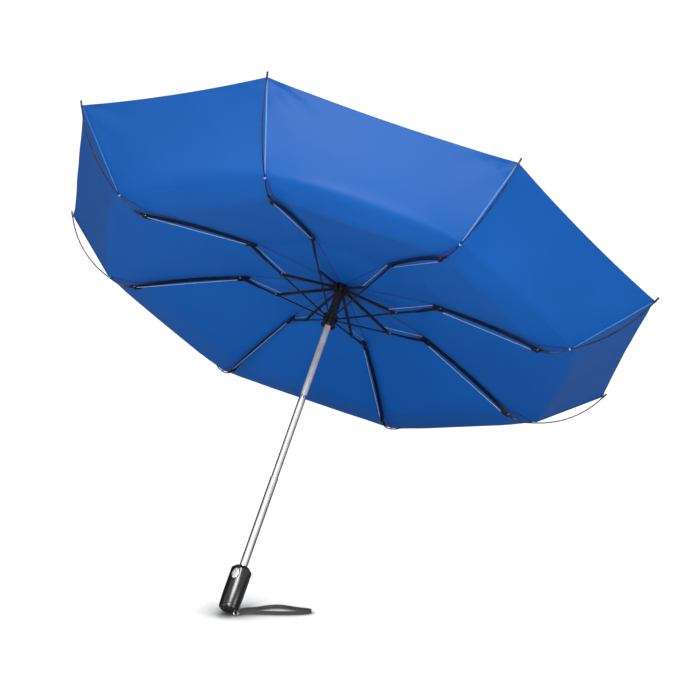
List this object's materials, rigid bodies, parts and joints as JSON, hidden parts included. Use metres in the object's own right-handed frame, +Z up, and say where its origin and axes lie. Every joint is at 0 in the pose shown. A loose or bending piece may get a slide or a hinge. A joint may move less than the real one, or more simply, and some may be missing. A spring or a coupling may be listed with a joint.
{
  "type": "folding umbrella",
  "caption": "Compact telescoping umbrella with its canopy blown inside out, on jointed folding ribs, with a button handle and a wrist strap.",
  "frame": {"origin": "middle of the flat face in the end of the handle", "axes": "+Z up; the shaft leans over from the origin towards +X and +Y, and the wrist strap lies on a floor 8 mm below the origin, towards +X"},
  "size_m": [0.9641, 0.8298, 0.8417],
  "materials": {
    "rib_steel": "satin black paint",
    "wire_steel": "dark drawn wire",
    "shaft_chrome": "polished",
    "cloth": "woven polyester, blue",
    "black_plastic": "glossy black moulding",
    "hub_plastic": "black moulding",
    "silver_plastic": "silver coated",
    "eye_metal": "plated wire",
    "webbing": "woven strap, near black"
  },
  "bodies": {
    "handle": {"handle": "black_plastic", "end_cap": "black_plastic", "lower_tube": "shaft_chrome", "strap_eye": "eye_metal", "strap": "webbing"},
    "button": {"button": "silver_plastic"},
    "middle_tube": {"middle_tube": "shaft_chrome"},
    "upper_tube": {"upper_tube": "shaft_chrome", "crown": "hub_plastic", "top_cap": "hub_plastic", "canopy_centre": "cloth"},
    "runner": {"runner": "hub_plastic"},
    "top_rib_1": {"top_rib_1": "rib_steel"},
    "stretcher_1": {"stretcher_1": "rib_steel"},
    "middle_rib_1": {"middle_rib_1": "rib_steel"},
    "end_joint_1": {"end_joint_1": "wire_steel"},
    "outer_rib_1": {"outer_rib_1": "wire_steel"},
    "skirt_panel_1": {"skirt_panel_1": "cloth"},
    "top_rib_2": {"top_rib_2": "rib_steel"},
    "stretcher_2": {"stretcher_2": "rib_steel"},
    "middle_rib_2": {"middle_rib_2": "rib_steel"},
    "end_joint_2": {"end_joint_2": "wire_steel"},
    "outer_rib_2": {"outer_rib_2": "wire_steel"},
    "skirt_panel_2": {"skirt_panel_2": "cloth"},
    "top_rib_3": {"top_rib_3": "rib_steel"},
    "stretcher_3": {"stretcher_3": "rib_steel"},
    "middle_rib_3": {"middle_rib_3": "rib_steel"},
    "end_joint_3": {"end_joint_3": "wire_steel"},
    "outer_rib_3": {"outer_rib_3": "wire_steel"},
    "skirt_panel_3": {"skirt_panel_3": "cloth"},
    "top_rib_4": {"top_rib_4": "rib_steel"},
    "stretcher_4": {"stretcher_4": "rib_steel"},
    "middle_rib_4": {"middle_rib_4": "rib_steel"},
    "end_joint_4": {"end_joint_4": "wire_steel"},
    "outer_rib_4": {"outer_rib_4": "wire_steel"},
    "skirt_panel_4": {"skirt_panel_4": "cloth"},
    "top_rib_5": {"top_rib_5": "rib_steel"},
    "stretcher_5": {"stretcher_5": "rib_steel"},
    "middle_rib_5": {"middle_rib_5": "rib_steel"},
    "end_joint_5": {"end_joint_5": "wire_steel"},
    "outer_rib_5": {"outer_rib_5": "wire_steel"},
    "skirt_panel_5": {"skirt_panel_5": "cloth"},
    "top_rib_6": {"top_rib_6": "rib_steel"},
    "stretcher_6": {"stretcher_6": "rib_steel"},
    "middle_rib_6": {"middle_rib_6": "rib_steel"},
    "end_joint_6": {"end_joint_6": "wire_steel"},
    "outer_rib_6": {"outer_rib_6": "wire_steel"},
    "skirt_panel_6": {"skirt_panel_6": "cloth"},
    "top_rib_7": {"top_rib_7": "rib_steel"},
    "stretcher_7": {"stretcher_7": "rib_steel"},
    "middle_rib_7": {"middle_rib_7": "rib_steel"},
    "end_joint_7": {"end_joint_7": "wire_steel"},
    "outer_rib_7": {"outer_rib_7": "wire_steel"},
    "skirt_panel_7": {"skirt_panel_7": "cloth"},
    "top_rib_8": {"top_rib_8": "rib_steel"},
    "stretcher_8": {"stretcher_8": "rib_steel"},
    "middle_rib_8": {"middle_rib_8": "rib_steel"},
    "end_joint_8": {"end_joint_8": "wire_steel"},
    "outer_rib_8": {"outer_rib_8": "wire_steel"},
    "skirt_panel_8": {"skirt_panel_8": "cloth"}
  },
  "joints": [
    {"name": "middle_tube_slide", "type": "slide", "parent": "handle", "child": "middle_tube", "axis": [-0.2987, -0.557, -0.7749], "range_m": [0, 0.138]},
    {"name": "upper_tube_slide", "type": "slide", "parent": "middle_tube", "child": "upper_tube", "axis": [-0.2987, -0.557, -0.7749], "range_m": [0, 0.138]},
    {"name": "runner_slide", "type": "slide", "parent": "upper_tube", "child": "runner", "axis": [-0.2987, -0.557, -0.7749], "range_m": [0, 0.1453], "deforming": ["canopy_centre", "skirt_panel_1", "skirt_panel_2", "skirt_panel_3", "skirt_panel_4", "skirt_panel_5", "skirt_panel_6", "skirt_panel_7", "skirt_panel_8"]},
    {"name": "button_press", "type": "slide", "parent": "handle", "child": "button", "axis": [0.3876, 0.6712, -0.6318], "range_m": [0, 0.002], "stiffness_N_per_m": 900, "springref_m": -0.001},
    {"name": "top_rib_1_hinge", "type": "hinge", "parent": "upper_tube", "child": "top_rib_1", "pos_m": [0.18225, 0.32679, 0.4459], "axis": [0.4777, -0.7902, 0.3839], "range_deg": [-71.7, 0.5]},
    {"name": "stretcher_1_hinge", "type": "hinge", "parent": "top_rib_1", "child": "stretcher_1", "pos_m": [0.25362, 0.33621, 0.37648], "axis": [0.4777, -0.7902, 0.3839], "range_deg": [-0.5, 142.9]},
    {"name": "middle_rib_1_hinge", "type": "hinge", "parent": "stretcher_1", "child": "middle_rib_1", "pos_m": [0.31803, 0.36543, 0.35648], "axis": [0.4777, -0.7902, 0.3839], "range_deg": [-142.9, 0.5]},
    {"name": "end_joint_1_hinge", "type": "hinge", "parent": "middle_rib_1", "child": "end_joint_1", "pos_m": [0.45181, 0.38534, 0.231], "axis": [0.4777, -0.7902, 0.3839], "range_deg": [-0.5, 119.9]},
    {"name": "outer_rib_1_flip", "type": "hinge", "parent": "end_joint_1", "child": "outer_rib_1", "pos_m": [0.49842, 0.40421, 0.21184], "axis": [0.4777, -0.7902, 0.3839], "range_deg": [-88.6, 0]},
    {"name": "skirt_panel_1_flip", "type": "hinge", "parent": "end_joint_1", "child": "skirt_panel_1", "pos_m": [0.37994, 0.50311, 0.18642], "axis": [0.7575, -0.6323, 0.1625], "range_deg": [-93.7, 0.5]},
    {"name": "top_rib_2_hinge", "type": "hinge", "parent": "upper_tube", "child": "top_rib_2", "pos_m": [0.17634, 0.33172, 0.44463], "axis": [0.922, -0.3781, -0.0836], "range_deg": [-71.7, 0.5]},
    {"name": "stretcher_2_hinge", "type": "hinge", "parent": "top_rib_2", "child": "stretcher_2", "pos_m": [0.19192, 0.38771, 0.36325], "axis": [0.922, -0.3781, -0.0836], "range_deg": [-0.5, 142.9]},
    {"name": "middle_rib_2_hinge", "type": "hinge", "parent": "stretcher_2", "child": "middle_rib_2", "pos_m": [0.21532, 0.45115, 0.33445], "axis": [0.922, -0.3781, -0.0836], "range_deg": [-142.9, 0.5]},
    {"name": "end_joint_2_hinge", "type": "hinge", "parent": "middle_rib_2", "child": "end_joint_2", "pos_m": [0.24554, 0.55751, 0.18675], "axis": [0.922, -0.3781, -0.0836], "range_deg": [-0.5, 119.9]},
    {"name": "outer_rib_2_flip", "type": "hinge", "parent": "end_joint_2", "child": "outer_rib_2", "pos_m": [0.26145, 0.602, 0.161], "axis": [0.922, -0.3781, -0.0836], "range_deg": [-89.1, 0.5]},
    {"name": "skirt_panel_2_flip", "type": "hinge", "parent": "end_joint_2", "child": "skirt_panel_2", "pos_m": [0.11347, 0.61237, 0.21058], "axis": [0.9461, -0.0663, -0.317], "range_deg": [-93.7, 0.5]},
    {"name": "top_rib_3_hinge", "type": "hinge", "parent": "upper_tube", "child": "top_rib_3", "pos_m": [0.16895, 0.33224, 0.4471], "axis": [0.8262, 0.2555, -0.5021], "range_deg": [-71.7, 0.5]},
    {"name": "stretcher_3_hinge", "type": "hinge", "parent": "top_rib_3", "child": "stretcher_3", "pos_m": [0.11485, 0.39311, 0.38906], "axis": [0.8262, 0.2555, -0.5021], "range_deg": [-0.5, 142.9]},
    {"name": "middle_rib_3_hinge", "type": "hinge", "parent": "stretcher_3", "child": "middle_rib_3", "pos_m": [0.08705, 0.46014, 0.37742], "axis": [0.8262, 0.2555, -0.5021], "range_deg": [-142.9, 0.5]},
    {"name": "end_joint_3_hinge", "type": "hinge", "parent": "middle_rib_3", "child": "end_joint_3", "pos_m": [-0.01208, 0.57556, 0.27305], "axis": [0.8262, 0.2555, -0.5021], "range_deg": [-0.5, 119.9]},
    {"name": "outer_rib_3_flip", "type": "hinge", "parent": "end_joint_3", "child": "outer_rib_3", "pos_m": [-0.03451, 0.62274, 0.26015], "axis": [0.8262, 0.2555, -0.5021], "range_deg": [-89.1, 0.5]},
    {"name": "skirt_panel_3_flip", "type": "hinge", "parent": "end_joint_3", "child": "skirt_panel_3", "pos_m": [-0.12531, 0.53852, 0.35568], "axis": [0.5805, 0.5385, -0.6108], "range_deg": [-93.7, 0.5]},
    {"name": "top_rib_4_hinge", "type": "hinge", "parent": "upper_tube", "child": "top_rib_4", "pos_m": [0.16442, 0.32804, 0.45187], "axis": [0.2464, 0.7395, -0.6265], "range_deg": [-71.7, 0.5]},
    {"name": "stretcher_4_hinge", "type": "hinge", "parent": "top_rib_4", "child": "stretcher_4", "pos_m": [0.06757, 0.34925, 0.43881], "axis": [0.2464, 0.7395, -0.6265], "range_deg": [-0.5, 142.9]},
    {"name": "middle_rib_4_hinge", "type": "hinge", "parent": "stretcher_4", "child": "middle_rib_4", "pos_m": [0.00834, 0.38713, 0.46023], "axis": [0.2464, 0.7395, -0.6265], "range_deg": [-142.9, 0.5]},
    {"name": "end_joint_4_hinge", "type": "hinge", "parent": "middle_rib_4", "child": "end_joint_4", "pos_m": [-0.17014, 0.42894, 0.43937], "axis": [0.2464, 0.7395, -0.6265], "range_deg": [-0.5, 119.9]},
    {"name": "outer_rib_4_flip", "type": "hinge", "parent": "end_joint_4", "child": "outer_rib_4", "pos_m": [-0.2161, 0.45429, 0.45122], "axis": [0.2464, 0.7395, -0.6265], "range_deg": [-89.1, 0.5]},
    {"name": "skirt_panel_4_flip", "type": "hinge", "parent": "end_joint_4", "child": "skirt_panel_4", "pos_m": [-0.19653, 0.32481, 0.53674], "axis": [-0.1252, 0.8279, -0.5468], "range_deg": [-93.7, 0.5]},
    {"name": "top_rib_5_hinge", "type": "hinge", "parent": "upper_tube", "child": "top_rib_5", "pos_m": [0.1654, 0.32157, 0.45614], "axis": [-0.4777, 0.7902, -0.3839], "range_deg": [-71.7, 0.5]},
    {"name": "stretcher_5_hinge", "type": "hinge", "parent": "top_rib_5", "child": "stretcher_5", "pos_m": [0.07777, 0.28182, 0.48335], "axis": [-0.4777, 0.7902, -0.3839], "range_deg": [-0.5, 142.9]},
    {"name": "middle_rib_5_hinge", "type": "hinge", "parent": "stretcher_5", "child": "middle_rib_5", "pos_m": [0.02531, 0.27489, 0.53437], "axis": [-0.4777, 0.7902, -0.3839], "range_deg": [-142.9, 0.5]},
    {"name": "end_joint_5_hinge", "type": "hinge", "parent": "middle_rib_5", "child": "end_joint_5", "pos_m": [-0.13606, 0.20352, 0.58826], "axis": [-0.4777, 0.7902, -0.3839], "range_deg": [-0.5, 119.9]},
    {"name": "outer_rib_5_flip", "type": "hinge", "parent": "end_joint_5", "child": "outer_rib_5", "pos_m": [-0.17695, 0.19532, 0.62227], "axis": [-0.4777, 0.7902, -0.3839], "range_deg": [-89.1, 0.5]},
    {"name": "skirt_panel_5_flip", "type": "hinge", "parent": "end_joint_5", "child": "skirt_panel_5", "pos_m": [-0.05847, 0.09643, 0.64769], "axis": [-0.7575, 0.6323, -0.1625], "range_deg": [-93.7, 0.5]},
    {"name": "top_rib_6_hinge", "type": "hinge", "parent": "upper_tube", "child": "top_rib_6", "pos_m": [0.17131, 0.31664, 0.45741], "axis": [-0.922, 0.3781, 0.0836], "range_deg": [-71.7, 0.5]},
    {"name": "stretcher_6_hinge", "type": "hinge", "parent": "top_rib_6", "child": "stretcher_6", "pos_m": [0.13947, 0.23032, 0.49659], "axis": [-0.922, 0.3781, 0.0836], "range_deg": [-0.5, 142.9]},
    {"name": "middle_rib_6_hinge", "type": "hinge", "parent": "stretcher_6", "child": "middle_rib_6", "pos_m": [0.12802, 0.18917, 0.5564], "axis": [-0.922, 0.3781, 0.0836], "range_deg": [-142.9, 0.5]},
    {"name": "end_joint_6_hinge", "type": "hinge", "parent": "middle_rib_6", "child": "end_joint_6", "pos_m": [0.0702, 0.03135, 0.63251], "axis": [-0.922, 0.3781, 0.0836], "range_deg": [-0.5, 119.9]},
    {"name": "outer_rib_6_flip", "type": "hinge", "parent": "end_joint_6", "child": "outer_rib_6", "pos_m": [0.06001, -0.00247, 0.67311], "axis": [-0.922, 0.3781, 0.0836], "range_deg": [-89.1, 0.5]},
    {"name": "skirt_panel_6_flip", "type": "hinge", "parent": "end_joint_6", "child": "skirt_panel_6", "pos_m": [0.208, -0.01284, 0.62353], "axis": [-0.9461, 0.0663, 0.317], "range_deg": [-93.7, 0.5]},
    {"name": "top_rib_7_hinge", "type": "hinge", "parent": "upper_tube", "child": "top_rib_7", "pos_m": [0.1787, 0.31612, 0.45493], "axis": [-0.8262, -0.2555, 0.5021], "range_deg": [-71.7, 0.5]},
    {"name": "stretcher_7_hinge", "type": "hinge", "parent": "top_rib_7", "child": "stretcher_7", "pos_m": [0.21653, 0.22492, 0.47077], "axis": [-0.8262, -0.2555, 0.5021], "range_deg": [-0.5, 142.9]},
    {"name": "middle_rib_7_hinge", "type": "hinge", "parent": "stretcher_7", "child": "middle_rib_7", "pos_m": [0.25629, 0.18018, 0.51343], "axis": [-0.8262, -0.2555, 0.5021], "range_deg": [-142.9, 0.5]},
    {"name": "end_joint_7_hinge", "type": "hinge", "parent": "middle_rib_7", "child": "end_joint_7", "pos_m": [0.32782, 0.0133, 0.5462], "axis": [-0.8262, -0.2555, 0.5021], "range_deg": [-0.5, 119.9]},
    {"name": "outer_rib_7_flip", "type": "hinge", "parent": "end_joint_7", "child": "outer_rib_7", "pos_m": [0.35598, -0.02321, 0.57395], "axis": [-0.8262, -0.2555, 0.5021], "range_deg": [-89.1, 0.5]},
    {"name": "skirt_panel_7_flip", "type": "hinge", "parent": "end_joint_7", "child": "skirt_panel_7", "pos_m": [0.44677, 0.06101, 0.47842], "axis": [-0.5805, -0.5385, 0.6108], "range_deg": [-93.7, 0.5]},
    {"name": "top_rib_8_hinge", "type": "hinge", "parent": "upper_tube", "child": "top_rib_8", "pos_m": [0.18323, 0.32032, 0.45016], "axis": [-0.2464, -0.7395, 0.6265], "range_deg": [-71.7, 0.5]},
    {"name": "stretcher_8_hinge", "type": "hinge", "parent": "top_rib_8", "child": "stretcher_8", "pos_m": [0.26381, 0.26878, 0.42102], "axis": [-0.2464, -0.7395, 0.6265], "range_deg": [-0.5, 142.9]},
    {"name": "middle_rib_8_hinge", "type": "hinge", "parent": "stretcher_8", "child": "middle_rib_8", "pos_m": [0.33499, 0.25319, 0.43062], "axis": [-0.2464, -0.7395, 0.6265], "range_deg": [-142.9, 0.5]},
    {"name": "end_joint_8_hinge", "type": "hinge", "parent": "middle_rib_8", "child": "end_joint_8", "pos_m": [0.48589, 0.15992, 0.37989], "axis": [-0.2464, -0.7395, 0.6265], "range_deg": [-0.5, 119.9]},
    {"name": "outer_rib_8_flip", "type": "hinge", "parent": "end_joint_8", "child": "outer_rib_8", "pos_m": [0.53757, 0.14524, 0.38289], "axis": [-0.2464, -0.7395, 0.6265], "range_deg": [-89.1, 0.5]},
    {"name": "skirt_panel_8_flip", "type": "hinge", "parent": "end_joint_8", "child": "skirt_panel_8", "pos_m": [0.51799, 0.27472, 0.29736], "axis": [0.1252, -0.8279, 0.5468], "range_deg": [-93.7, 0.5]}
  ],
  "couplings": [
    {"joint": "top_rib_1_hinge", "follows": "runner_slide", "rad_per_m": -8.5525},
    {"joint": "stretcher_1_hinge", "follows": "runner_slide", "rad_per_m": 17.105},
    {"joint": "middle_rib_1_hinge", "follows": "runner_slide", "rad_per_m": -17.105},
    {"joint": "end_joint_1_hinge", "follows": "runner_slide", "rad_per_m": 14.318},
    {"joint": "skirt_panel_1_flip", "follows": "outer_rib_1_flip", "ratio": 1.0512},
    {"joint": "top_rib_2_hinge", "follows": "runner_slide", "rad_per_m": -8.5525},
    {"joint": "stretcher_2_hinge", "follows": "runner_slide", "rad_per_m": 17.105},
    {"joint": "middle_rib_2_hinge", "follows": "runner_slide", "rad_per_m": -17.105},
    {"joint": "end_joint_2_hinge", "follows": "runner_slide", "rad_per_m": 14.318},
    {"joint": "outer_rib_2_flip", "follows": "outer_rib_1_flip", "ratio": 1},
    {"joint": "skirt_panel_2_flip", "follows": "outer_rib_1_flip", "ratio": 1.0512},
    {"joint": "top_rib_3_hinge", "follows": "runner_slide", "rad_per_m": -8.5525},
    {"joint": "stretcher_3_hinge", "follows": "runner_slide", "rad_per_m": 17.105},
    {"joint": "middle_rib_3_hinge", "follows": "runner_slide", "rad_per_m": -17.105},
    {"joint": "end_joint_3_hinge", "follows": "runner_slide", "rad_per_m": 14.318},
    {"joint": "outer_rib_3_flip", "follows": "outer_rib_1_flip", "ratio": 1},
    {"joint": "skirt_panel_3_flip", "follows": "outer_rib_1_flip", "ratio": 1.0512},
    {"joint": "top_rib_4_hinge", "follows": "runner_slide", "rad_per_m": -8.5525},
    {"joint": "stretcher_4_hinge", "follows": "runner_slide", "rad_per_m": 17.105},
    {"joint": "middle_rib_4_hinge", "follows": "runner_slide", "rad_per_m": -17.105},
    {"joint": "end_joint_4_hinge", "follows": "runner_slide", "rad_per_m": 14.318},
    {"joint": "outer_rib_4_flip", "follows": "outer_rib_1_flip", "ratio": 1},
    {"joint": "skirt_panel_4_flip", "follows": "outer_rib_1_flip", "ratio": 1.0512},
    {"joint": "top_rib_5_hinge", "follows": "runner_slide", "rad_per_m": -8.5525},
    {"joint": "stretcher_5_hinge", "follows": "runner_slide", "rad_per_m": 17.105},
    {"joint": "middle_rib_5_hinge", "follows": "runner_slide", "rad_per_m": -17.105},
    {"joint": "end_joint_5_hinge", "follows": "runner_slide", "rad_per_m": 14.318},
    {"joint": "outer_rib_5_flip", "follows": "outer_rib_1_flip", "ratio": 1},
    {"joint": "skirt_panel_5_flip", "follows": "outer_rib_1_flip", "ratio": 1.0512},
    {"joint": "top_rib_6_hinge", "follows": "runner_slide", "rad_per_m": -8.5525},
    {"joint": "stretcher_6_hinge", "follows": "runner_slide", "rad_per_m": 17.105},
    {"joint": "middle_rib_6_hinge", "follows": "runner_slide", "rad_per_m": -17.105},
    {"joint": "end_joint_6_hinge", "follows": "runner_slide", "rad_per_m": 14.318},
    {"joint": "outer_rib_6_flip", "follows": "outer_rib_1_flip", "ratio": 1},
    {"joint": "skirt_panel_6_flip", "follows": "outer_rib_1_flip", "ratio": 1.0512},
    {"joint": "top_rib_7_hinge", "follows": "runner_slide", "rad_per_m": -8.5525},
    {"joint": "stretcher_7_hinge", "follows": "runner_slide", "rad_per_m": 17.105},
    {"joint": "middle_rib_7_hinge", "follows": "runner_slide", "rad_per_m": -17.105},
    {"joint": "end_joint_7_hinge", "follows": "runner_slide", "rad_per_m": 14.318},
    {"joint": "outer_rib_7_flip", "follows": "outer_rib_1_flip", "ratio": 1},
    {"joint": "skirt_panel_7_flip", "follows": "outer_rib_1_flip", "ratio": 1.0512},
    {"joint": "top_rib_8_hinge", "follows": "runner_slide", "rad_per_m": -8.5525},
    {"joint": "stretcher_8_hinge", "follows": "runner_slide", "rad_per_m": 17.105},
    {"joint": "middle_rib_8_hinge", "follows": "runner_slide", "rad_per_m": -17.105},
    {"joint": "end_joint_8_hinge", "follows": "runner_slide", "rad_per_m": 14.318},
    {"joint": "outer_rib_8_flip", "follows": "outer_rib_1_flip", "ratio": 1},
    {"joint": "skirt_panel_8_flip", "follows": "outer_rib_1_flip", "ratio": 1.0512}
  ]
}
